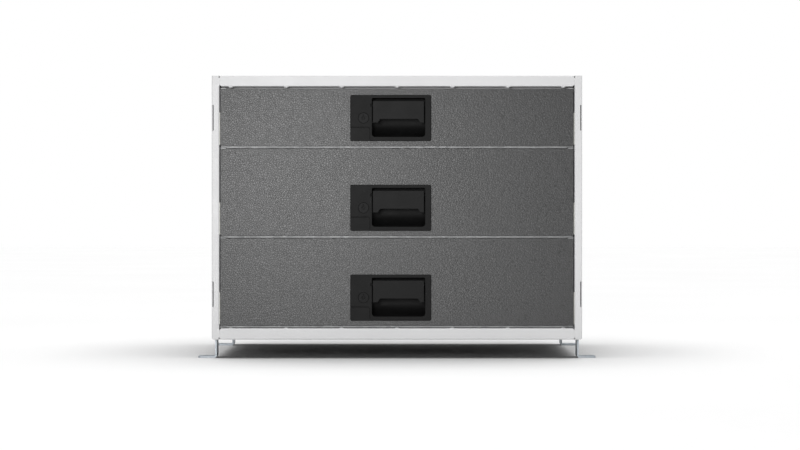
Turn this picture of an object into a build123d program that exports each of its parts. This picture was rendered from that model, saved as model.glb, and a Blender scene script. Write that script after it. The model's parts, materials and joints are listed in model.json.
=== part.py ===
"""Three-drawer racking cabinet: folded sheet frame, ball slides, paddle latches and key locks.

Units are millimetres. X is across the cabinet, the front faces -Y, Z is up, and the feet stand on Z = 0.
"""

import os

from build123d import *

# Cabinet
WIDTH = 508.0
FRONT_Y = -190.0
REAR_Y = 190.0
PANEL_BOTTOM = 27.0
TOP = 388.0
SHEET = 1.5
FLANGE = 10.5
RETURN_LIP = 34.0
RIVET_Y = REAR_Y - 9.0
OPENING_HALF = WIDTH / 2 - FLANGE
RAIL_TOP_HEIGHT = 14.7
RAIL_BOTTOM_HEIGHT = 15.5
BOTTOM = PANEL_BOTTOM - 1.0
RAIL_LIP = 8.0
OPENING_LOW = BOTTOM + RAIL_BOTTOM_HEIGHT
OPENING_HIGH = TOP - RAIL_TOP_HEIGHT
RELIEF_IN = 1.7
PAN_BEND = 1.0
STOP_LIP = 9.0
STOP_IN = 24.0
DIMPLE_PITCH = 76.0
DIMPLE_HALF = 3.65
DIMPLE_TOP = 2.0
DIMPLE_BOTTOM = 1.25
GROOVES = ((71.0, 105.6), (312.6, 347.7))
GROOVE_DEEP = 2.0

PAN_SCREW_Y = (-110.0, 0.0, 110.0)
PAN_SCREW_IN = 7.5

# Feet
FOOT_THICK = 2.2
FOOT_LEG_OUT = 250.8
FOOT_REACH = 274.5
FOOT_WIDE = 30.0
FOOT_LEG_TOP = 62.0
FOOT_Y = 155.0
FOOT_HOLE_X = 264.5
FOOT_HOLE_R = 4.5
FOOT_SCREW_Z = (34.8, 53.0)
SCREW_HEAD = 3.1

# Drawers
GAP = 3.55
HEIGHTS = (78.4, 119.6, 119.6)
FRONT_HALF = 242.4
CARRIER_HALF = 241.6
CORNER_CLIP = 7.2
CLIP_HIGH = 1.4
LIP_SPAN = (-2.15, -0.85)
FRONT_FACE = -188.0
FRONT_BACK = -185.2
CARRIER_BACK = -184.0
TRAY_HALF = 230.7
TRAY_SHEET = 1.2
TRAY_BACK = 166.0
TRAY_BASE = 12.0
TRAY_HEM = 6.0
TRAY_BELOW_FRONT = 14.0

# Slides, sections measured from the slide's centre height
SLIDE_CENTRE = 24.0
SLIDE_SHEET = 1.4
OUTER_SPAN = (-176.0, 174.0)
NOSE_Y = -188.8
MID_SPAN = (-178.0, 166.0)
INNER_SPAN = (-183.8, 160.0)

# Handle, heights measured down from the top of its plate
PLATE_LEFT = -64.0
PLATE_RIGHT = 47.0
PLATE_LOW = 6.9
PLATE_HIGH = 63.3
CUP_LEFT = -34.5
CUP_RIGHT = 38.9
CUP_TOP = 4.1
CUP_WALL = 1.5
CUP_BACK = -163.0
PADDLE_LEFT = -33.3
PADDLE_RIGHT = 37.3
PIN_DOWN = 14.0
PIN_Y = -181.0
PIN_R = 2.0
LOCK_X = -45.8
LOCK_DOWN = 31.7
COVER_WIDE = 27.4
COVER_HIGH = 19.9
COVER_GAP_TOP = 1.5
COVER_GAP_SIDE = 0.4
BOLT_Y = PIN_Y + 10.0
RAIL_BELOW = 11.0
RAIL_ABOVE = 0.5


def block(x0, x1, y0, y1, z0, z1):
    """A box between two corners."""
    return Pos((x0 + x1) / 2, (y0 + y1) / 2, (z0 + z1) / 2) * Box(x1 - x0, y1 - y0, z1 - z0)


def rod_x(radius, x0, x1, y, z):
    """A cylinder along X."""
    return Pos((x0 + x1) / 2, y, z) * Rot(0, 90, 0) * Cylinder(radius, x1 - x0)


def rod_y(radius, y0, y1, x, z):
    """A cylinder along Y."""
    return Pos(x, (y0 + y1) / 2, z) * Rot(90, 0, 0) * Cylinder(radius, y1 - y0)


def rod_z(radius, z0, z1, x, y):
    """A cylinder along Z."""
    return Pos(x, y, (z0 + z1) / 2) * Cylinder(radius, z1 - z0)


def mirrored(shape):
    """The same shape on the other side of the cabinet."""
    return shape.mirror(Plane.YZ)


def folded(points, thickness, bend, plane, length):
    """Folded sheet: a section along the sheet's middle line, pushed out along the plane's normal."""
    line = FilletPolyline(*points, radius=bend)
    return extrude(plane * trace(line, thickness), length)


def drawer_low(number):
    """Bottom edge of a drawer's front, drawer 1 being the top one."""
    below = HEIGHTS[number:]
    return OPENING_LOW + GAP + sum(below) + GAP * len(below)


def side_panel():
    """Right-hand side sheet: web, front and rear flanges, and return lips that carry the slides."""
    half = SHEET / 2
    web = WIDTH / 2 - half
    lip = OPENING_HALF + half
    front = FRONT_Y + half
    rear = REAR_Y - half
    section = (
        (lip, FRONT_Y + RETURN_LIP),
        (lip, front),
        (web, front),
        (web, rear),
        (lip, rear),
        (lip, REAR_Y - RETURN_LIP),
    )
    base = Plane.XY.offset(PANEL_BOTTOM)
    panel = folded(section, SHEET, 1.4, base, TOP - PANEL_BOTTOM)
    keep = block(WIDTH / 2 - 20, WIDTH / 2, FRONT_Y - 1, REAR_Y + 1, PANEL_BOTTOM, TOP)
    outer_edges = keep.edges().filter_by(Axis.Y).group_by(Axis.X)[-1]
    panel = panel & fillet(outer_edges.sort_by(Axis.Z)[0], 1.6)
    inside = WIDTH / 2 - SHEET - 0.5
    for low, high in ((PANEL_BOTTOM - 1, OPENING_LOW + 0.1), (OPENING_HIGH - 0.1, TOP + 1)):
        front = FRONT_Y + SHEET + 0.05
        panel -= block(OPENING_HALF - 1, inside, front, REAR_Y - SHEET - 0.05, low, high)
    for low, high in GROOVES:
        panel -= block(WIDTH / 2 - 2.7, WIDTH / 2 - 0.9, FRONT_Y - 1, FRONT_Y + GROOVE_DEEP, low, high)
    for low, high in ((PANEL_BOTTOM, OPENING_LOW), (OPENING_HIGH, TOP)):
        panel += block(OPENING_HALF, OPENING_HALF + 4, FRONT_Y, FRONT_Y + SHEET, low, high)
    for height in (TOP - RELIEF_IN, BOTTOM + RELIEF_IN):
        panel -= rod_y(1.1, FRONT_Y - 1, FRONT_Y + SHEET + 1, OPENING_HALF, height)
    for y, z in frame_screw_places():
        panel -= rod_x(3.02, WIDTH / 2 - 5, WIDTH / 2 + 1, y, z)
    for y, z in slide_screw_places():
        panel -= rod_x(2.02, OPENING_HALF - 1, OPENING_HALF + 3, y, z)
    for z in rear_rivet_heights():
        panel -= rod_x(2.02, OPENING_HALF - 1, OPENING_HALF + 3, RIVET_Y, z)
    return panel


def frame_screw_places():
    """Screws through the webs: three into each pan's side flange and two into each foot."""
    pans = [(y, z) for y in PAN_SCREW_Y for z in (BOTTOM + PAN_SCREW_IN, TOP - PAN_SCREW_IN)]
    feet = [(y, z) for y in (-FOOT_Y, FOOT_Y) for z in FOOT_SCREW_Z]
    return pans + feet


def slide_screw_places():
    """One screw near each end of every fixed slide member."""
    heights = [drawer_low(number) + SLIDE_CENTRE for number in (1, 2, 3)]
    return [(y, z) for y in (-165.0, 163.0) for z in heights]


def rear_rivet_heights():
    """Rivets that hold the rear panel's folded edges to the rear return lips."""
    return [60.0 + 73.75 * step for step in range(5)]


def pan(height, dimple_high, front_lip, stop_lip):
    """Roof pan: plate, side flanges, front and rear flanges with inner lips, dimples and a stop lip."""
    half = SHEET / 2
    low = TOP - height
    start = ((FRONT_Y + front_lip, low + half - stop_lip),) if stop_lip else ()
    section = start + (
        (FRONT_Y + front_lip, low + half),
        (FRONT_Y + half, low + half),
        (FRONT_Y + half, TOP - half),
        (REAR_Y - half, TOP - half),
        (REAR_Y - half, low + half),
        (REAR_Y - RAIL_LIP, low + half),
    )
    plane = Plane(origin=(-OPENING_HALF + 0.1, 0, 0), x_dir=(0, 1, 0), z_dir=(1, 0, 0))
    body = folded(section, SHEET, PAN_BEND, plane, 2 * OPENING_HALF - 0.2)
    inset = FRONT_Y + SHEET + 0.1
    outset = REAR_Y - SHEET - 0.1
    edge = WIDTH / 2 - SHEET - 0.1
    wing = block(OPENING_HALF - 1, edge, inset, outset, TOP - SHEET, TOP)
    wing += block(edge - SHEET, edge, inset + 20, outset - 20, low, TOP)
    body += wing
    body += mirrored(wing)
    cap_r = (DIMPLE_HALF**2 + dimple_high**2) / (2 * dimple_high)
    lip_zone = block(-WIDTH, WIDTH, FRONT_Y, 0, low - dimple_high - 1, low + half)
    for step in range(-3, 4):
        cap = Pos(step * DIMPLE_PITCH, FRONT_Y + 4.4, low - dimple_high + cap_r) * Sphere(cap_r)
        body += cap & lip_zone
    for side in (-1, 1):
        body -= Pos(side * OPENING_HALF, FRONT_Y, low) * Rot(0, 45, 0) * Box(3.6, 2 * front_lip + 4, 3.6)
        body -= rod_y(1.1, FRONT_Y - 1, FRONT_Y + SHEET + 1, side * OPENING_HALF, TOP - RELIEF_IN)
        for y in PAN_SCREW_Y:
            body -= rod_x(3.02, side * edge - 3, side * edge + 3, y, TOP - PAN_SCREW_IN)
    return body


def top_panel():
    """The roof pan, whose front lip reaches back and turns down behind the top drawer's front."""
    return pan(RAIL_TOP_HEIGHT, DIMPLE_TOP, STOP_IN, STOP_LIP)


def bottom_panel():
    """The same pan turned over and slightly deeper, notched at its sides for the feet."""
    roof = pan(RAIL_BOTTOM_HEIGHT, DIMPLE_BOTTOM, RAIL_LIP, 0)
    body = Pos(0, 0, BOTTOM + TOP) * roof.mirror(Plane.XY)
    for y in (-FOOT_Y, FOOT_Y):
        half = FOOT_WIDE / 2 + 0.3
        leg_in = FOOT_LEG_OUT - FOOT_THICK - 0.3
        notch = block(leg_in, FOOT_LEG_OUT + 0.05, y - half, y + half, BOTTOM - 1, OPENING_LOW + 5)
        body -= notch
        body -= mirrored(notch)
        body -= rod_x(3.02, -WIDTH / 2, WIDTH / 2, y, FOOT_SCREW_Z[0])
    return body


def rear_panel():
    """Rear sheet between the rear return lips, with its four edges folded forward."""
    half = OPENING_HALF - 0.2
    low = OPENING_LOW + 0.2
    high = OPENING_HIGH - 0.2
    sheet = block(-half, half, REAR_Y - 14.0, REAR_Y - 2.0, low, high)
    sheet = fillet(sheet.faces().sort_by(Axis.Y)[-1].edges(), 2.0)
    sheet -= block(1.2 - half, half - 1.2, REAR_Y - 15.0, REAR_Y - 3.2, low + 1.2, high - 1.2)
    for z in rear_rivet_heights():
        sheet -= rod_x(2.02, -half - 1, half + 1, RIVET_Y, z)
    return sheet


def striker_rail(number):
    """Cross channel below a drawer: slots in its top take the latch bolt and the lock cam."""
    high = drawer_low(number) + RAIL_ABOVE
    low = drawer_low(number) - RAIL_BELOW
    half = TRAY_SHEET / 2
    section = ((-177.4, low), (-177.4, high - half), (-160.6, high - half), (-160.6, low))
    plane = Plane(origin=(-OPENING_HALF + 0.1, 0, 0), x_dir=(0, 1, 0), z_dir=(1, 0, 0))
    rail = folded(section, TRAY_SHEET, 1.2, plane, 2 * OPENING_HALF - 0.2)
    tab = block(OPENING_HALF - 1.3, OPENING_HALF - 0.1, -177.0, -161.0, low, high - 1)
    rail += tab
    rail += mirrored(tab)
    rail -= block(41.5, 49.5, -176.0, -164.5, high - 3, high + 1)
    rail -= block(-54.0, -37.6, -169.0, -161.8, high - 3, high + 1)
    return rail


def foot(side, end):
    """Angle foot bolted inside the web, with its toe turned out over the floor."""
    half = FOOT_THICK / 2
    section = ((FOOT_REACH, half), (FOOT_LEG_OUT - half, half), (FOOT_LEG_OUT - half, FOOT_LEG_TOP))
    plane = Plane(origin=(0, FOOT_Y + FOOT_WIDE / 2, 0), x_dir=(1, 0, 0), z_dir=(0, -1, 0))
    shape = folded(section, FOOT_THICK, 2.4, plane, FOOT_WIDE)
    corners = shape.edges().filter_by(Axis.Z).group_by(Axis.X)[-1]
    shape = fillet(corners, 4.0)
    shape -= rod_z(FOOT_HOLE_R, -1, FOOT_THICK + 1, FOOT_HOLE_X, FOOT_Y)
    for z in FOOT_SCREW_Z:
        shape -= rod_x(3.3, FOOT_LEG_OUT - 4, FOOT_LEG_OUT + 1, FOOT_Y, z)
    if side < 0:
        shape = mirrored(shape)
    if end < 0:
        shape = shape.mirror(Plane.XZ)
    return shape


def frame_screws():
    """Screws from the inside of the pans and feet, threaded into the webs."""
    screws = []
    for y, z in frame_screw_places():
        foot_face = FOOT_LEG_OUT - FOOT_THICK - 0.02
        head_out = foot_face if abs(y) == FOOT_Y else WIDTH / 2 - 2 * SHEET - 0.12
        head = rod_x(5.2, head_out - SCREW_HEAD, head_out, y, z)
        head = fillet(head.edges().sort_by(Axis.X)[0], 1.6)
        head -= Pos(head_out - SCREW_HEAD, y, z) * Rot(0, 90, 0) * extrude(RegularPolygon(2.3, 6), 1.8)
        screw = head + rod_x(3.0, head_out - 1, WIDTH / 2 - 0.1, y, z)
        screws += [screw, mirrored(screw)]
    return Compound(children=screws)


def rear_rivets():
    """Rivets with low round heads inside the rear panel's folded side edges."""
    rivets = []
    for z in rear_rivet_heights():
        seat = OPENING_HALF - 0.2 - 1.2
        head = rod_x(3.6, seat - 1.4, seat, RIVET_Y, z)
        head = fillet(head.edges().sort_by(Axis.X)[0], 1.1)
        rivet = head + rod_x(2.0, seat - 0.5, OPENING_HALF + 2.6, RIVET_Y, z)
        rivets += [rivet, mirrored(rivet)]
    return Compound(children=rivets)


def slide_screws():
    """Screws through the fixed slide members into the side panels' return lips."""
    screws = []
    for y, z in slide_screw_places():
        inner = OPENING_HALF - SLIDE_SHEET - 0.12
        head = rod_x(3.4, inner - 1.5, inner, y, z)
        head = fillet(head.edges().sort_by(Axis.X)[0], 0.9)
        head -= Pos(inner - 1.5, y, z) * Rot(0, 90, 0) * extrude(RegularPolygon(1.4, 6), 0.9)
        screw = head + rod_x(2.0, inner - 0.5, OPENING_HALF + 3.0, y, z)
        screws += [screw, mirrored(screw)]
    return Compound(children=screws)


def slide_plane(start, height):
    """Section plane of a right-hand slide member that runs back along +Y."""
    return Plane(origin=(0, start, height), x_dir=(-1, 0, 0), z_dir=(0, 1, 0))


def slide_member(web, depth, half_height, lip, span, height):
    """A rolled slide member: web, top and bottom flanges, and short race lips on the flanges."""
    mid = SLIDE_SHEET / 2
    tip = web - depth
    section = [
        (-tip, half_height - lip),
        (-tip, half_height - mid),
        (-web, half_height - mid),
        (-web, mid - half_height),
        (-tip, mid - half_height),
        (-tip, lip - half_height),
    ]
    if lip <= 0:
        section = section[1:-1]
    return folded(section, SLIDE_SHEET, 0.8, slide_plane(span[0], height), span[1] - span[0])


def slide_outer(number):
    """Fixed member on each side, screwed to the return lips."""
    height = drawer_low(number) + SLIDE_CENTRE
    web = OPENING_HALF - 0.1 - SLIDE_SHEET / 2
    member = slide_member(web, 9.1, 22.5, 3.4, OUTER_SPAN, height)
    nose_in = FRONT_HALF + 0.2
    member += block(nose_in, OPENING_HALF - 0.1, NOSE_Y, OUTER_SPAN[0] + 1, height - 22.0, height + 22.0)
    for y, z in slide_screw_places():
        if z == height:
            member -= rod_x(2.2, web - 2, web + 2, y, z)
    member -= block(web - 2, web + 2, -60.0, -40.0, height - 3.5, height + 3.5)
    member -= block(web - 2, web + 2, 40.0, 60.0, height - 3.5, height + 3.5)
    return Compound(children=[member, mirrored(member)])


def slide_mid(number):
    """Middle member on each side, which travels half as far as the drawer."""
    height = drawer_low(number) + SLIDE_CENTRE
    member = slide_member(238.6, 4.8, 17.0, 0, MID_SPAN, height)
    member += slide_member(238.6, -1.6, 17.0, 0, MID_SPAN, height)
    for y in (-120.0, 110.0):
        member -= rod_x(4.0, 235.0, 243.0, y, height)
    return Compound(children=[member, mirrored(member)])


def slide_inner(number):
    """Drawer member on each side, hooked to the tray by lanced tabs."""
    height = drawer_low(number) + SLIDE_CENTRE
    web = TRAY_HALF + 0.1 + SLIDE_SHEET / 2
    member = slide_member(web, -5.0, 11.0, 0, INNER_SPAN, height)
    for y in (-140.0, -20.0, 110.0):
        member -= block(web - 2, web + 2, y - 7, y + 7, height - 2.6, height + 2.6)
    return Compound(children=[member, mirrored(member)])


def handle_cutout(low, y0, y1):
    """Opening in the front and carrier for the finger recess, the cam arm, the spring and the lock."""
    top = low + PLATE_LOW + PLATE_HIGH
    cut = block(CUP_LEFT - 2.2, 45.0, y0, y1, low + PLATE_LOW + 3.4, top - 2.2)
    cut += block(-44.5, CUP_LEFT, y0, y1, top - PIN_DOWN - 6.0, top - PIN_DOWN + 6.0)
    cut += rod_y(6.4, y0, y1, LOCK_X, top - LOCK_DOWN)
    return cut


def front_screw_place(low):
    """The countersunk screw under the snap-in cover."""
    return PLATE_LEFT + COVER_WIDE / 2, low + PLATE_LOW + COVER_HIGH / 2


def rear_screw_place(low):
    """The screw that is driven from behind into the plate's boss."""
    return PLATE_LEFT + 7.0, low + PLATE_LOW + PLATE_HIGH - 8.0


def countersink(x, z, extra):
    """Cone of a countersunk head from the plate's pocket into the front."""
    cone = Cone(1.75 + extra, 3.2 + extra, 1.5)
    return Pos(x, FRONT_FACE - 0.1, z) * Rot(90, 0, 0) * cone


def drawer_front(number):
    """Dark textured front plate."""
    low = drawer_low(number)
    plate = block(-FRONT_HALF, FRONT_HALF, FRONT_FACE, FRONT_BACK, low, low + HEIGHTS[number - 1])
    plate = fillet(plate.edges().filter_by(Axis.Y), 1.2)
    plate = fillet(plate.faces().sort_by(Axis.Y)[0].edges(), 0.4)
    plate -= handle_cutout(low, FRONT_FACE - 1, FRONT_BACK + 1)
    x, z = front_screw_place(low)
    plate -= countersink(x, z, 0.15)
    plate -= rod_y(1.9, FRONT_FACE - 1, FRONT_BACK + 1, x, z)
    x, z = rear_screw_place(low)
    plate -= rod_y(3.8, FRONT_FACE - 1, FRONT_BACK + 1, x, z)
    return plate


def drawer_tray(number):
    """Bare metal tray: folded base and sides, back wall, and the carrier with its bottom lip."""
    low = drawer_low(number)
    height = HEIGHTS[number - 1]
    half = TRAY_SHEET / 2
    side = TRAY_HALF - half
    base = low + TRAY_BASE + half
    top = low + height - TRAY_BELOW_FRONT
    section = (
        (-side + TRAY_HEM, top - half),
        (-side, top - half),
        (-side, base),
        (side, base),
        (side, top - half),
        (side - TRAY_HEM, top - half),
    )
    plane = Plane(origin=(0, TRAY_BACK, 0), x_dir=(1, 0, 0), z_dir=(0, -1, 0))
    tray = folded(section, TRAY_SHEET, 1.6, plane, TRAY_BACK - CARRIER_BACK + 0.4)
    tray += block(-side, side, TRAY_BACK - TRAY_SHEET, TRAY_BACK, base - half + 0.3, top - 1.5)
    tray += block(-side, side, TRAY_BACK - TRAY_HEM, TRAY_BACK, top - 1.5 - TRAY_SHEET, top - 1.5)
    edge = CARRIER_HALF
    high = low + height
    tray += block(-edge, edge, FRONT_BACK, CARRIER_BACK, low - 1.5, high - 0.8)
    lip = edge - CORNER_CLIP - 1.0
    tray += block(-lip, lip, FRONT_FACE, CARRIER_BACK, low + LIP_SPAN[0], low + LIP_SPAN[1])
    clip = block(edge - CORNER_CLIP, edge, FRONT_FACE, CARRIER_BACK, high + 0.04, high + CLIP_HIGH)
    clip += block(edge - CORNER_CLIP, edge, FRONT_BACK, CARRIER_BACK, high - 3.0, high + CLIP_HIGH)
    tray += clip
    tray += mirrored(clip)
    tray -= handle_cutout(low, FRONT_BACK - 0.5, CARRIER_BACK + 0.6)
    tray -= block(-86.0, 52.0, CARRIER_BACK, -158.0, low + TRAY_BASE - 1, low + TRAY_BASE + 3)
    x, z = front_screw_place(low)
    tray -= rod_y(1.62, FRONT_BACK - 1, CARRIER_BACK + 1, x, z)
    x, z = rear_screw_place(low)
    tray -= rod_y(3.8, FRONT_BACK - 1, CARRIER_BACK + 1, x, z)
    return tray


def cup_profile(top, grow):
    """Side view of the finger recess: straight top and back, and a scooped floor."""
    low = top - PLATE_HIGH + 5.6 - grow
    high = top - CUP_TOP + grow
    back = CUP_BACK + grow
    line = Polyline((FRONT_Y - 2, low), (FRONT_Y - 2, high), (back, high), (back, low + 19))
    scoop = ThreePointArc((back, low + 19), (back - 5.0, low + 6.0), (FRONT_Y + 8, low))
    close = Line((FRONT_Y + 8, low), (FRONT_Y - 2, low))
    return make_face(line + scoop + close)


def cup_solid(top, grow):
    """The finger recess as a solid, grown by the wall for its outside, with a rounded mouth."""
    plane = Plane(origin=(CUP_LEFT - grow, 0, 0), x_dir=(0, 1, 0), z_dir=(1, 0, 0))
    solid = extrude(plane * cup_profile(top, grow), CUP_RIGHT - CUP_LEFT + 2 * grow)
    low = top - PLATE_HIGH + 5.6 - grow
    mouth = block(CUP_LEFT - grow, CUP_RIGHT + grow, FRONT_Y - 3, CUP_BACK + 9, low, top - CUP_TOP + grow)
    sides = mouth.edges().filter_by(Axis.Y).group_by(Axis.Z)
    mouth = fillet(sides[-1], 2.0 + grow)
    sides = mouth.edges().filter_by(Axis.Y).group_by(Axis.Z)
    mouth = fillet(sides[0], 4.6 + grow)
    return solid & mouth


def handle_housing(number):
    """Black plate with the finger recess, bolt guide, lock seat, cover pocket and pin notch."""
    low = drawer_low(number)
    base = low + PLATE_LOW
    top = base + PLATE_HIGH
    plate = block(PLATE_LEFT, PLATE_RIGHT, FRONT_Y, FRONT_FACE - 0.01, base, top)
    plate = fillet(plate.edges().filter_by(Axis.Y), 2.2)
    plate = chamfer(plate.faces().sort_by(Axis.Y)[0].edges(), 0.8)
    shell = cup_solid(top, CUP_WALL) & block(-60, 60, FRONT_Y + 0.5, 0, low, top + 5)
    guide = block(CUP_RIGHT + 0.5, 50.0, BOLT_Y - 6.0, BOLT_Y + 6.0, low + 15.0, low + 29.0)
    body = plate + shell + guide
    body += block(CUP_RIGHT + 0.5, 44.5, FRONT_FACE - 1, BOLT_Y - 5.0, low + 15.0, low + 29.0)
    body += rod_y(8.2, CARRIER_BACK + 0.05, -172.0, LOCK_X, top - LOCK_DOWN)
    body += rod_y(6.3, FRONT_Y + 1.0, -176.0, LOCK_X, top - LOCK_DOWN)
    body += block(LOCK_X, CUP_LEFT - 0.5, -182.0, -174.0, top - LOCK_DOWN - 4, top - LOCK_DOWN + 4)
    x, z = rear_screw_place(low)
    body += rod_y(3.5, FRONT_Y + 1.0, CARRIER_BACK - 0.2, x, z)
    body -= rod_y(1.62, FRONT_Y + 1.2, CARRIER_BACK + 1, x, z)
    body -= cup_solid(top, 0)
    body -= block(43.7, 47.3, BOLT_Y - 4.3, BOLT_Y + 4.3, low + 10.0, low + 35.0)
    body -= rod_x(PIN_R + 0.06, -45, 45, PIN_Y, top - PIN_DOWN)
    notch_low = top - PIN_DOWN - 2.3
    body -= block(CUP_LEFT - 1.8, CUP_LEFT + 0.1, FRONT_Y - 1, FRONT_Y + 4.5, notch_low, notch_low + 4.6)
    body -= rod_y(5.05, FRONT_Y - 1, -160.0, LOCK_X, top - LOCK_DOWN)
    body -= rod_y(7.7, FRONT_Y - 1, FRONT_Y + 1.3, LOCK_X, top - LOCK_DOWN)
    left = PLATE_LEFT - 1
    right = PLATE_LEFT + COVER_WIDE
    pocket = block(left, right, FRONT_Y - 1, FRONT_Y + 1.0, base - 1, base + COVER_HIGH)
    pocket = fillet(pocket.edges().filter_by(Axis.Y).sort_by(Axis.X)[-2:].sort_by(Axis.Z)[-1], 3.4)
    body -= pocket
    gap_low = base + COVER_HIGH - COVER_GAP_TOP
    body -= block(left, right - 3.4, FRONT_Y - 1, FRONT_Y + 1.6, gap_low, base + COVER_HIGH)
    x, z = front_screw_place(low)
    body -= countersink(x, z, 0.1)
    body -= rod_y(1.9, FRONT_Y - 1, FRONT_FACE + 1, x, z)
    return body


def screw_cover(number):
    """Snap-in cover over the front screw."""
    base = drawer_low(number) + PLATE_LOW
    right = PLATE_LEFT + COVER_WIDE - COVER_GAP_SIDE
    lid = block(PLATE_LEFT, right, FRONT_Y, FRONT_Y + 0.95, base, base + COVER_HIGH - COVER_GAP_TOP)
    posts = lid.edges().filter_by(Axis.Y)
    lid = fillet([posts.group_by(Axis.X)[0].sort_by(Axis.Z)[0]], 2.2)
    posts = lid.edges().filter_by(Axis.Y).group_by(Axis.X)[-1]
    lid = fillet([posts.sort_by(Axis.Z)[-1]], 2.9)
    return chamfer(lid.faces().sort_by(Axis.Y)[0].edges(), 0.4)


def handle_screws(number):
    """The countersunk front screw and the washer-head screw from behind."""
    low = drawer_low(number)
    x, z = front_screw_place(low)
    front = countersink(x, z, 0) + rod_y(1.6, FRONT_FACE, CARRIER_BACK + 5.0, x, z)
    front -= Pos(x, FRONT_FACE - 0.5, z) * Box(0.9, 1.2, 3.4)
    front -= Pos(x, FRONT_FACE - 0.5, z) * Box(3.4, 1.2, 0.9)
    x, z = rear_screw_place(low)
    rear = rod_y(5.0, CARRIER_BACK, CARRIER_BACK + 1.0, x, z)
    rear += rod_y(3.0, CARRIER_BACK, CARRIER_BACK + 3.0, x, z)
    rear += rod_y(1.6, FRONT_Y + 1.6, CARRIER_BACK, x, z)
    rear -= Pos(x, CARRIER_BACK + 3.0, z) * Box(0.9, 1.6, 3.6)
    rear -= Pos(x, CARRIER_BACK + 3.0, z) * Box(3.6, 1.6, 0.9)
    return Compound(children=[front, rear])


def handle_paddle(number):
    """Hinged paddle with two ears, a turned-in grip edge and cheeks that hold the pin."""
    top = drawer_low(number) + PLATE_LOW + PLATE_HIGH
    outline = Polyline(
        (PADDLE_LEFT, top - 8.0),
        (PADDLE_RIGHT, top - 8.0),
        (PADDLE_RIGHT, top - 38.3),
        (PADDLE_RIGHT - 5.4, top - 38.3),
        (PADDLE_RIGHT - 8.8, top - 33.2),
        (PADDLE_LEFT + 10.4, top - 33.2),
        (PADDLE_LEFT + 7.0, top - 38.3),
        (PADDLE_LEFT, top - 38.3),
        close=True,
    )
    plane = Plane(origin=(0, FRONT_Y + 3.3, 0), x_dir=(1, 0, 0), z_dir=(0, -1, 0))
    plate = extrude(plane * make_face(outline), 2.5)
    plate = chamfer(plate.faces().sort_by(Axis.Y)[0].edges(), 0.5)
    grip = block(PADDLE_LEFT + 10.4, PADDLE_RIGHT - 8.8, FRONT_Y + 3.0, FRONT_Y + 6.5, top - 33.2, top - 31.0)
    plate += grip
    for x0 in (PADDLE_LEFT, PADDLE_RIGHT - 2.4):
        cheek = block(x0, x0 + 2.4, FRONT_Y + 3.0, PIN_Y, top - 36.0, top - PIN_DOWN + 4.4)
        cheek -= block(x0 - 1, x0 + 4, FRONT_Y + 6.5, PIN_Y + 1, top - 37.0, top - PIN_DOWN - 4.4)
        cheek += rod_x(4.4, x0, x0 + 2.4, PIN_Y, top - PIN_DOWN)
        plate += cheek
    plate += rod_x(4.0, 0.0, 5.2, PIN_Y, top - PIN_DOWN)
    plate += block(0.0, 5.2, FRONT_Y + 3.0, PIN_Y, top - PIN_DOWN - 3.0, top - PIN_DOWN + 3.0)
    plate -= rod_x(PIN_R, PADDLE_LEFT - 1, PADDLE_RIGHT + 1, PIN_Y, top - PIN_DOWN)
    return plate


def paddle_pin(number):
    """Pin keyed to the paddle, with the cam arm whose curved slot lifts the bolt."""
    top = drawer_low(number) + PLATE_LOW + PLATE_HIGH
    plane = Plane(origin=(41.4, PIN_Y, top - PIN_DOWN), x_dir=(0, 1, 0), z_dir=(1, 0, 0))
    path = ThreePointArc((10.0, -16.0), (13.02, -9.97), (13.66, -3.66))
    arm = SlotArc(path, 9.4) + SlotCenterToCenter(14.1, 9.0).moved(Location((6.8, -1.8, 0), (0, 0, -15)))
    arm -= SlotArc(path, 4.3)
    plate = extrude(plane * arm, 2.0)
    return plate + rod_x(PIN_R, -43.0, 43.4, PIN_Y, top - PIN_DOWN)


def latch_bolt(number):
    """Flat sliding bolt with the cross pin that rides in the cam arm's slot."""
    low = drawer_low(number)
    pin_z = low + PLATE_LOW + PLATE_HIGH - PIN_DOWN - 16.0
    bar = block(44.0, 47.0, BOLT_Y - 4.0, BOLT_Y + 4.0, low + 1.0, pin_z + 5.0)
    foot_edges = bar.edges().filter_by(Axis.X).group_by(Axis.Z)[0]
    bar = chamfer([foot_edges.sort_by(Axis.Y)[-1]], 2.5)
    return bar + rod_x(1.5, 41.0, 44.5, BOLT_Y, pin_z)


def paddle_spring(number):
    """Torsion spring coiled round the pin, with one leg back and one leg down."""
    z = drawer_low(number) + PLATE_LOW + PLATE_HIGH - PIN_DOWN
    coil = Helix(pitch=1.12, height=4.48, radius=3.1)
    wire = sweep(Plane(origin=coil @ 0, z_dir=coil % 0) * Circle(0.5), path=coil, is_frenet=True)
    wire = Pos(-41.8, PIN_Y, z) * Rot(0, 90, 0) * wire
    spring = wire + rod_z(0.5, z - 8.0, z, -41.8, PIN_Y + 3.1)
    spring += rod_y(0.5, PIN_Y, PIN_Y + 9.0, -37.32, z - 3.1)
    return spring


def lock_barrel(number):
    """Fixed lock barrel with its face ring and the notch that lets the key in."""
    z = drawer_low(number) + PLATE_LOW + PLATE_HIGH - LOCK_DOWN
    ring = rod_y(7.1, FRONT_Y, FRONT_Y + 1.25, LOCK_X, z)
    ring = chamfer(ring.faces().sort_by(Axis.Y)[0].edges(), 0.35)
    ring -= block(LOCK_X - 0.8, LOCK_X + 0.8, FRONT_Y - 1, FRONT_Y + 1.0, z + 3.0, z + 5.4)
    barrel = ring + rod_y(5.0, FRONT_Y + 1.0, -167.0, LOCK_X, z)
    barrel -= block(LOCK_X - 0.8, LOCK_X + 0.8, FRONT_Y - 1, FRONT_Y + 2.5, z + 3.0, z + 4.5)
    return barrel - rod_y(3.45, FRONT_Y - 1, -160.0, LOCK_X, z)


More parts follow.
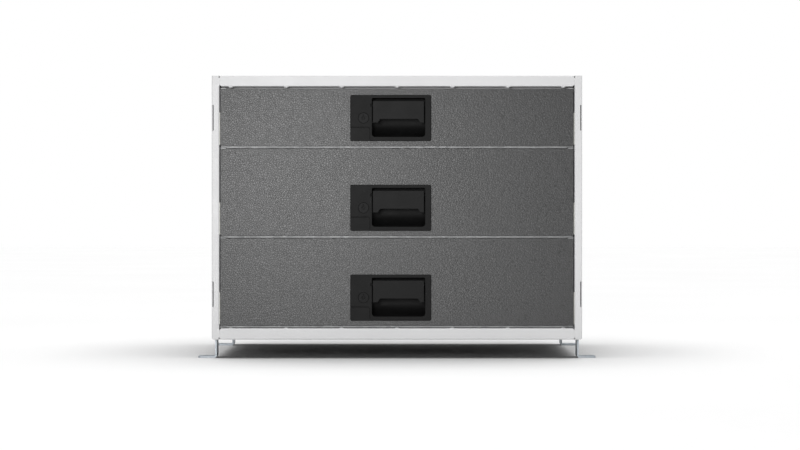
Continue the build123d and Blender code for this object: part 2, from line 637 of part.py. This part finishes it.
def lock_plug(number):
    """Turning plug with a ring-shaped key groove and a square tail."""
    z = drawer_low(number) + PLATE_LOW + PLATE_HIGH - LOCK_DOWN
    plug = rod_y(3.4, FRONT_Y + 0.1, -166.6, LOCK_X, z)
    groove = rod_y(2.6, FRONT_Y - 1, FRONT_Y + 3.0, LOCK_X, z)
    groove -= rod_y(0.9, FRONT_Y - 1, FRONT_Y + 4.0, LOCK_X, z)
    plug -= groove
    plug -= block(LOCK_X - 0.8, LOCK_X + 0.8, FRONT_Y - 1, FRONT_Y + 3.0, z + 2.2, z + 4.0)
    plug += Pos(LOCK_X, -164.3, z) * Box(4.6, 5.0, 4.6)
    return plug


def lock_cam(number):
    """Flat cam on the plug's square tail, resting across the drawer."""
    z = drawer_low(number) + PLATE_LOW + PLATE_HIGH - LOCK_DOWN
    arm = block(LOCK_X - 37.0, LOCK_X, -166.0, -164.0, z - 5.0, z + 5.0)
    arm = fillet(arm.edges().filter_by(Axis.Y).group_by(Axis.X)[0], 4.0)
    cam = arm + rod_y(6.6, -166.0, -164.0, LOCK_X, z)
    cam -= Pos(LOCK_X, -165.0, z) * Box(4.64, 4.0, 4.64)
    return cam


def main():
    """Write one STEP file per piece."""
    os.makedirs("parts", exist_ok=True)
    right = side_panel()
    pieces = {
        "side_panel_right": right,
        "side_panel_left": mirrored(right),
        "top_panel": top_panel(),
        "bottom_panel": bottom_panel(),
        "rear_panel": rear_panel(),
        "striker_rail_upper": striker_rail(1),
        "striker_rail_lower": striker_rail(2),
        "striker_rail_bottom": striker_rail(3),
        "foot_front_left": foot(-1, -1),
        "foot_front_right": foot(1, -1),
        "foot_rear_left": foot(-1, 1),
        "foot_rear_right": foot(1, 1),
        "frame_screws": frame_screws(),
        "rear_rivets": rear_rivets(),
        "slide_screws": slide_screws(),
    }
    per_drawer = (
        slide_outer,
        slide_mid,
        slide_inner,
        drawer_tray,
        drawer_front,
        handle_housing,
        handle_screws,
        screw_cover,
        handle_paddle,
        paddle_pin,
        paddle_spring,
        latch_bolt,
        lock_barrel,
        lock_plug,
        lock_cam,
    )
    for number in (1, 2, 3):
        for make in per_drawer:
            pieces[f"{make.__name__}_{number}"] = make(number)
    for name, shape in pieces.items():
        export_step(shape, f"parts/{name}.step")


main()
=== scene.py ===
"""Looks for the three-drawer racking cabinet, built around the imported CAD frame."""

import json
import math

import bpy
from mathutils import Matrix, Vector


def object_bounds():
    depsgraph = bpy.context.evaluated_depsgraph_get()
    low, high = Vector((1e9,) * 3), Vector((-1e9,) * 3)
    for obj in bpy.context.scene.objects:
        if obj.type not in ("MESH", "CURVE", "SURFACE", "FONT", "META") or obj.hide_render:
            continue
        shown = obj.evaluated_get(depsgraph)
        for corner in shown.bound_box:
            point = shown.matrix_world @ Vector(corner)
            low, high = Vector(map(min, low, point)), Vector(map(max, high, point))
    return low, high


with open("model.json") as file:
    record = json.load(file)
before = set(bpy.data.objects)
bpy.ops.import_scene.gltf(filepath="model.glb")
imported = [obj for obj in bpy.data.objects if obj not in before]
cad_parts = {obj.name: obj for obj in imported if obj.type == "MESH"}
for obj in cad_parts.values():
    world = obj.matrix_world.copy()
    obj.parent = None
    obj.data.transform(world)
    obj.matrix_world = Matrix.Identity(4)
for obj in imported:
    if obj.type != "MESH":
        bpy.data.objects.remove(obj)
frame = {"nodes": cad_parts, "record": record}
cad_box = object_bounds()
nodes = frame["nodes"]
FRONT_Y = cad_box[0][1]


# ---------------------------------------------------------------- material helpers


class Shader:
    """Adds nodes to one new material, placed by the object's own coordinates in metres."""

    def __init__(self, name):
        self.material = bpy.data.materials.new(name)
        self.material.use_nodes = True
        self.tree = self.material.node_tree
        self.surface = self.tree.nodes["Principled BSDF"]
        self.place = self.tree.nodes.new("ShaderNodeTexCoord").outputs["Object"]

    def node(self, kind, **settings):
        """A new shader node with its properties set."""
        made = self.tree.nodes.new(kind)
        for key, value in settings.items():
            setattr(made, key, value)
        return made

    def link(self, start, end):
        self.tree.links.new(start, end)

    def stretched(self, scale):
        """Coordinates scaled differently along each axis, for brushed or rolled surfaces."""
        mapping = self.node("ShaderNodeMapping")
        mapping.inputs["Scale"].default_value = scale
        self.link(self.place, mapping.inputs["Vector"])
        return mapping.outputs["Vector"]

    def noise(self, scale, detail=3.0, roughness=0.5, place=None):
        """Soft fractal noise, scale being the number of lumps in a metre."""
        made = self.node("ShaderNodeTexNoise")
        made.inputs["Scale"].default_value = scale
        made.inputs["Detail"].default_value = detail
        made.inputs["Roughness"].default_value = roughness
        self.link(place or self.place, made.inputs["Vector"])
        return made.outputs["Fac"]

    def cells(self, scale, feature, output="Distance", place=None):
        """Cell pattern, scale being the number of cells in a metre."""
        made = self.node("ShaderNodeTexVoronoi", feature=feature)
        made.inputs["Scale"].default_value = scale
        self.link(place or self.place, made.inputs["Vector"])
        return made.outputs[output]

    def remap(self, value, low, high, out_low, out_high):
        """Value taken from one range to another and held inside it."""
        made = self.node("ShaderNodeMapRange")
        made.inputs["From Min"].default_value = low
        made.inputs["From Max"].default_value = high
        made.inputs["To Min"].default_value = out_low
        made.inputs["To Max"].default_value = out_high
        self.link(value, made.inputs["Value"])
        return made.outputs["Result"]

    def math(self, operation, first, second):
        """One sum of two values, each a number or another node's output."""
        made = self.node("ShaderNodeMath", operation=operation)
        for socket, value in zip(made.inputs, (first, second)):
            if isinstance(value, (int, float)):
                socket.default_value = value
            else:
                self.link(value, socket)
        return made.outputs[0]

    def ramp(self, value, stops):
        """Value turned into a colour between the stops, given as place and colour."""
        made = self.node("ShaderNodeValToRGB")
        elements = made.color_ramp.elements
        while len(elements) < len(stops):
            elements.new(0.5)
        for element, (position, colour) in zip(elements, stops):
            element.position = position
            element.color = (*colour, 1.0)
        self.link(value, made.inputs["Fac"])
        return made.outputs["Color"]

    def bump(self, height, strength, distance):
        """Relief of the given depth in metres."""
        made = self.node("ShaderNodeBump")
        made.inputs["Strength"].default_value = strength
        made.inputs["Distance"].default_value = distance
        self.link(height, made.inputs["Height"])
        return made.outputs["Normal"]

    def finish(self, colour, roughness, normal=None, **constants):
        """Joins the nodes to the surface and sets its constant sockets."""
        for name, value in constants.items():
            self.surface.inputs[name.replace("_", " ")].default_value = value
        self.link(colour, self.surface.inputs["Base Color"])
        self.link(roughness, self.surface.inputs["Roughness"])
        if normal is not None:
            self.link(normal, self.surface.inputs["Normal"])
        return self.material


def scaled(colour, factor):
    """The same colour, lighter or darker."""
    return tuple(channel * factor for channel in colour)


PAINT_GREY = (0.70, 0.70, 0.705)
GRAIN_CELLS = 400.0
GRAIN_SHIFT = 0.0024
GRAIN_DEPTH = 0.000125
# Painted shade: near-black colour given to the creases of the grain, standing in for shade there.
PAINTED_CREASE_SHADE = (0.004, 0.00405, 0.0041)
DOME_GREY = (0.0385, 0.0387, 0.0391)
PLASTIC_SHADE = 0.0095
# Painted floor shadow: how far the floor looks for cover, and how dark its colour is painted at each
# amount of cover.
SHADOW_REACH = 0.26
SHADOW_STEPS = ((0.0, 0.38), (0.3, 0.38), (0.5, 0.71), (1.0, 1.0))


def powder_coat():
    """Light grey satin powder coat: orange peel, faint cloudiness and uneven sheen."""
    s = Shader("powder_coat")
    cloud = s.noise(7.0, 4.0, 0.6)
    colour = s.ramp(cloud, ((0.3, scaled(PAINT_GREY, 0.965)), (0.7, scaled(PAINT_GREY, 1.02))))
    peel = s.noise(620.0, 2.0, 0.5)
    coarse = s.noise(170.0, 2.0, 0.5)
    height = s.math("ADD", peel, coarse)
    roughness = s.remap(s.noise(38.0, 6.0, 0.7), 0.3, 0.75, 0.36, 0.5)
    return s.finish(colour, roughness, s.bump(height, 0.12, 0.0003), Specular_IOR_Level=0.5)


def textured_front():
    """Dark grey coating with a fine leather grain: small domes parted by creases, the creases painted
    near black as shade.
    """
    s = Shader("grain_coat")
    warp = s.noise(260.0, 2.0, 0.5)
    shift = s.node("ShaderNodeVectorMath", operation="MULTIPLY_ADD")
    s.link(warp, shift.inputs[0])
    shift.inputs[1].default_value = (GRAIN_SHIFT,) * 3
    s.link(s.place, shift.inputs[2])
    bent = shift.outputs["Vector"]
    cell = s.cells(GRAIN_CELLS, "SMOOTH_F1", place=bent)
    crease = s.cells(GRAIN_CELLS, "DISTANCE_TO_EDGE", place=bent)
    fine = s.noise(900.0, 2.0, 0.6)
    dome = s.remap(cell, 0.0, 0.7, 1.0, 0.0)
    groove = s.remap(crease, 0.0, 0.16, 0.0, 1.0)
    height = s.math("MULTIPLY", s.math("ADD", dome, groove), 0.5)
    height = s.math("ADD", height, s.math("MULTIPLY", fine, 0.25))
    patch = s.noise(22.0, 5.0, 0.65)
    # Painted shade in the creases, mixed with a random fine speckle of tone.
    speck_and_crease_shade = s.math("ADD", s.math("MULTIPLY", groove, 0.5), s.math("MULTIPLY", fine, 0.36))
    tone = s.math("ADD", speck_and_crease_shade, s.math("MULTIPLY", patch, 0.14))
    colour = s.ramp(tone, ((0.3, PAINTED_CREASE_SHADE), (0.64, DOME_GREY)))
    roughness = s.remap(s.noise(90.0, 4.0, 0.6), 0.3, 0.7, 0.31, 0.35)
    return s.finish(colour, roughness, s.bump(height, 1.0, GRAIN_DEPTH), Specular_IOR_Level=0.7)


def moulded_black(name, rough_low, rough_high):
    """Spark-eroded black plastic: very fine stipple and slight sheen variation."""
    s = Shader(name)
    stipple = s.noise(2600.0, 2.0, 0.6)
    soft = s.noise(60.0, 4.0, 0.6)
    colour = s.ramp(soft, ((0.3, (PLASTIC_SHADE * 0.85,) * 3), (0.7, (PLASTIC_SHADE * 1.15,) * 3)))
    roughness = s.remap(soft, 0.3, 0.7, rough_low, rough_high)
    return s.finish(colour, roughness, s.bump(stipple, 0.25, 0.00012), Specular_IOR_Level=0.12)


def galvanised():
    """Hot-dip galvanised sheet with a small spangle."""
    s = Shader("galvanised_sheet")
    spangle = s.cells(150.0, "F1", "Color")
    split = s.node("ShaderNodeSeparateColor")
    s.link(spangle, split.inputs["Color"])
    tone = split.outputs["Red"]
    colour = s.ramp(tone, ((0.0, (0.27, 0.272, 0.275)), (1.0, (0.36, 0.362, 0.365))))
    roughness = s.remap(split.outputs["Green"], 0.0, 1.0, 0.5, 0.62)
    height = s.math("ADD", s.noise(900.0, 2.0, 0.5), s.math("MULTIPLY", tone, 0.6))
    return s.finish(colour, roughness, s.bump(height, 0.08, 0.0002), Metallic=1.0)


def zinc_plate():
    """Bright bluish zinc plating over rolled steel, drawn along the rolling direction."""
    s = Shader("zinc_plate")
    drawn = s.noise(1.0, 4.0, 0.7, s.stretched((900.0, 60.0, 900.0)))
    cloud = s.noise(45.0, 4.0, 0.6)
    colour = s.ramp(cloud, ((0.3, (0.44, 0.48, 0.52)), (0.7, (0.56, 0.60, 0.63))))
    roughness = s.remap(drawn, 0.3, 0.7, 0.42, 0.56)
    return s.finish(colour, roughness, s.bump(drawn, 0.1, 0.0001), Metallic=0.85)


def slide_steel():
    """Clear zinc over rolled slide profiles, faintly warm, with long rolling lines."""
    s = Shader("slide_steel")
    rolled = s.noise(1.0, 4.0, 0.7, s.stretched((700.0, 25.0, 700.0)))
    cloud = s.noise(30.0, 4.0, 0.6)
    colour = s.ramp(cloud, ((0.3, (0.48, 0.48, 0.45)), (0.7, (0.58, 0.58, 0.545))))
    roughness = s.remap(rolled, 0.3, 0.7, 0.44, 0.58)
    return s.finish(colour, roughness, s.bump(rolled, 0.12, 0.0001), Metallic=1.0)


def lock_metal():
    """Black oxide with faint turning marks."""
    s = Shader("black_oxide")
    marks = s.noise(1.0, 3.0, 0.6, s.stretched((2400.0, 200.0, 2400.0)))
    colour = s.ramp(marks, ((0.3, (0.0055, 0.0055, 0.0057)), (0.7, (0.0085, 0.0085, 0.0087))))
    roughness = s.remap(marks, 0.3, 0.7, 0.34, 0.46)
    return s.finish(colour, roughness, s.bump(marks, 0.15, 0.0001), Specular_IOR_Level=0.12)


def spring_wire():
    """Oiled spring wire with drawing lines."""
    s = Shader("spring_wire")
    marks = s.noise(1400.0, 3.0, 0.6)
    colour = s.ramp(marks, ((0.3, (0.22, 0.22, 0.23)), (0.7, (0.36, 0.36, 0.37))))
    roughness = s.remap(marks, 0.3, 0.7, 0.25, 0.4)
    return s.finish(colour, roughness, s.bump(marks, 0.1, 0.0001), Metallic=1.0)


def floor_paper():
    """Plain pale studio floor, with a painted shadow that darkens its colour where something stands
    close over it.
    """
    s = Shader("studio_floor")
    # Painted contact shadow: ambient occlusion darkens the floor colour under and beside the cabinet.
    painted_shadow_ao = s.node("ShaderNodeAmbientOcclusion", samples=12)
    painted_shadow_ao.inputs["Distance"].default_value = SHADOW_REACH
    grain = s.remap(s.noise(1.5, 2.0, 0.5), 0.3, 0.7, 0.93, 0.95)
    steps = tuple((place, (shade,) * 3) for place, shade in SHADOW_STEPS)
    shade = s.math("MULTIPLY", grain, s.ramp(painted_shadow_ao.outputs["AO"], steps))
    colour = s.ramp(shade, ((0.0, (0.0, 0.0, 0.0)), (1.0, (1.0, 1.0, 1.0))))
    return s.finish(colour, s.remap(s.noise(30.0), 0.3, 0.7, 0.62, 0.72), None, Specular_IOR_Level=0.2)


MATERIALS = {
    "frame_paint": powder_coat(),
    "textured_front": textured_front(),
    "black_plastic": moulded_black("housing_black", 0.42, 0.54),
    "paddle_plastic": moulded_black("paddle_black", 0.38, 0.48),
    "tray_steel": galvanised(),
    "zinc_steel": zinc_plate(),
    "slide_steel": slide_steel(),
    "lock_metal": lock_metal(),
    "spring_steel": spring_wire(),
}


def dress(obj, slot_name):
    """Gives a node the finish of its slot in the record."""
    obj.data.materials.clear()
    obj.data.materials.append(MATERIALS[slot_name])


for entry in frame["record"]["subparts"]:
    dress(nodes[entry["node"]], entry["material_slot"])


# ---------------------------------------------------------------- stage, light, camera

FLOOR_HALF = 15.0
SUN_ENERGY = 2.66
SUN_SPREAD = math.radians(96.0)
SPOT_PLACE = (-0.34, -2.3, 0.4)
SPOT_AIM = (0.0, FRONT_Y, 0.22)
SPOT_RADIUS = 0.25
SPOT_CONE = math.radians(30.0)
SPOT_BLEND = 0.7
SPOT_ENERGY = 46.0
FILL_STRENGTH = 0.27
BACKDROP_STRENGTH = 1.0
WHITE = (1.0, 1.0, 1.0, 1.0)
CAMERA_PLACE = (0.0042, FRONT_Y - 3.0, 0.1832)
CAMERA_LENS = 98.5
CAMERA_SENSOR = 36.0


def into_scene(name, data):
    """A new object holding the data, linked to the scene."""
    made = bpy.data.objects.new(name, data)
    bpy.context.scene.collection.objects.link(made)
    return made


def add_floor():
    """Plain floor under the cabinet, a separate object of its own."""
    corners = [(x, y, 0) for x, y in ((-1, -1), (1, -1), (1, 1), (-1, 1))]
    mesh = bpy.data.meshes.new("studio_floor")
    mesh.from_pydata([(x * FLOOR_HALF, y * FLOOR_HALF, z) for x, y, z in corners], [], [(0, 1, 2, 3)])
    mesh.materials.append(floor_paper())
    into_scene("studio_floor", mesh)


def add_sun():
    """Wide soft light from straight overhead."""
    data = bpy.data.lights.new("overhead", "SUN")
    data.energy = SUN_ENERGY
    data.angle = SUN_SPREAD
    into_scene("overhead", data)


def add_spot():
    """Narrow soft light from the front left, which gives the fronts their falling gradient."""
    data = bpy.data.lights.new("front_left", "SPOT")
    data.shadow_soft_size = SPOT_RADIUS
    data.spot_size = SPOT_CONE
    data.spot_blend = SPOT_BLEND
    data.energy = SPOT_ENERGY
    light = into_scene("front_left", data)
    light.location = SPOT_PLACE
    light.rotation_euler = (Vector(SPOT_AIM) - Vector(SPOT_PLACE)).to_track_quat("-Z", "Y").to_euler()


def add_world():
    """White backdrop for the camera, and a weaker white fill for everything else."""
    world = bpy.data.worlds.new("studio")
    world.use_nodes = True
    bpy.context.scene.world = world
    tree = world.node_tree
    fill = tree.nodes["Background"]
    backdrop = tree.nodes.new("ShaderNodeBackground")
    for shader, strength in ((fill, FILL_STRENGTH), (backdrop, BACKDROP_STRENGTH)):
        shader.inputs["Color"].default_value = WHITE
        shader.inputs["Strength"].default_value = strength
    rays = tree.nodes.new("ShaderNodeLightPath")
    choose = tree.nodes.new("ShaderNodeMixShader")
    tree.links.new(rays.outputs["Is Camera Ray"], choose.inputs["Fac"])
    tree.links.new(fill.outputs["Background"], choose.inputs[1])
    tree.links.new(backdrop.outputs["Background"], choose.inputs[2])
    tree.links.new(choose.outputs["Shader"], tree.nodes["World Output"].inputs["Surface"])


def add_camera():
    """Level camera square to the front, close to the middle and just below mid-height."""
    data = bpy.data.cameras.new("camera")
    data.lens = CAMERA_LENS
    data.sensor_width = CAMERA_SENSOR
    camera = into_scene("camera", data)
    camera.location = CAMERA_PLACE
    camera.rotation_euler = (math.pi / 2, 0.0, 0.0)
    bpy.context.scene.camera = camera


add_floor()
add_sun()
add_spot()
add_world()
add_camera()
bpy.context.scene.view_settings.view_transform = "Standard"
